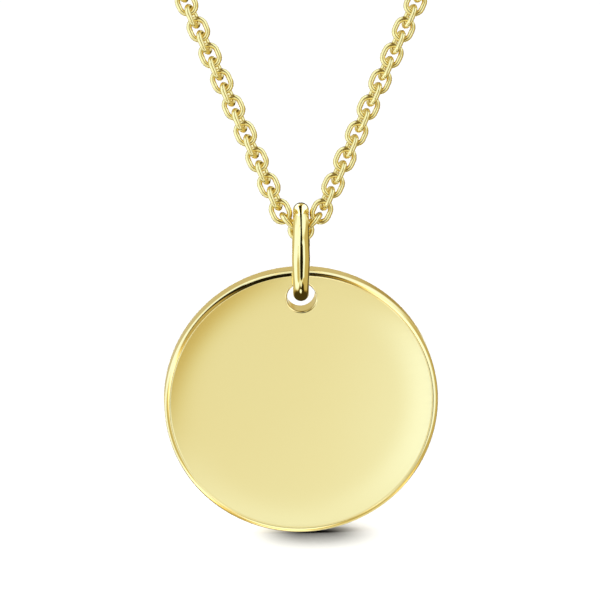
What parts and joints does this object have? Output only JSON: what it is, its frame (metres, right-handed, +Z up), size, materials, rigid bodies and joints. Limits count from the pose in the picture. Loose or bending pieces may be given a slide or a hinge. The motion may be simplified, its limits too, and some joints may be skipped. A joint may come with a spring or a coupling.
{
  "type": "disc pendant necklace",
  "caption": "Plain round gold disc with a hole near its rim, hung by an oval bail from a fine cable chain that closes behind the neck with a ring clasp.",
  "frame": {"origin": "the nape, at the middle of the clasp's ring, where the necklace is held up", "axes": "+Z up, the disc's face towards -Y, +X to the right of someone who looks at the face"},
  "size_m": [0.1122, 0.1034, 0.1556],
  "materials": {
    "disc_gold": "mirror-polished yellow gold",
    "bail_gold": "mirror-polished yellow gold",
    "chain_gold": "polished yellow gold wire",
    "clasp_gold": "polished yellow gold"
  },
  "bodies": {
    "chain": {"chain_front": "chain_gold", "chain_back": "chain_gold", "clasp": "clasp_gold"},
    "bail": {"bail": "bail_gold"},
    "disc": {"disc": "disc_gold"}
  },
  "joints": [
    {"name": "bail_swing", "type": "hinge", "parent": "chain", "child": "bail", "pos_m": [0, -0.1, -0.13], "axis": [1, 0, 0], "range_deg": [-90, 90]},
    {"name": "disc_swing", "type": "hinge", "parent": "bail", "child": "disc", "pos_m": [0, -0.1, -0.13485], "axis": [0.0523, -0.9986, 0], "range_deg": [-45, 45]}
  ]
}
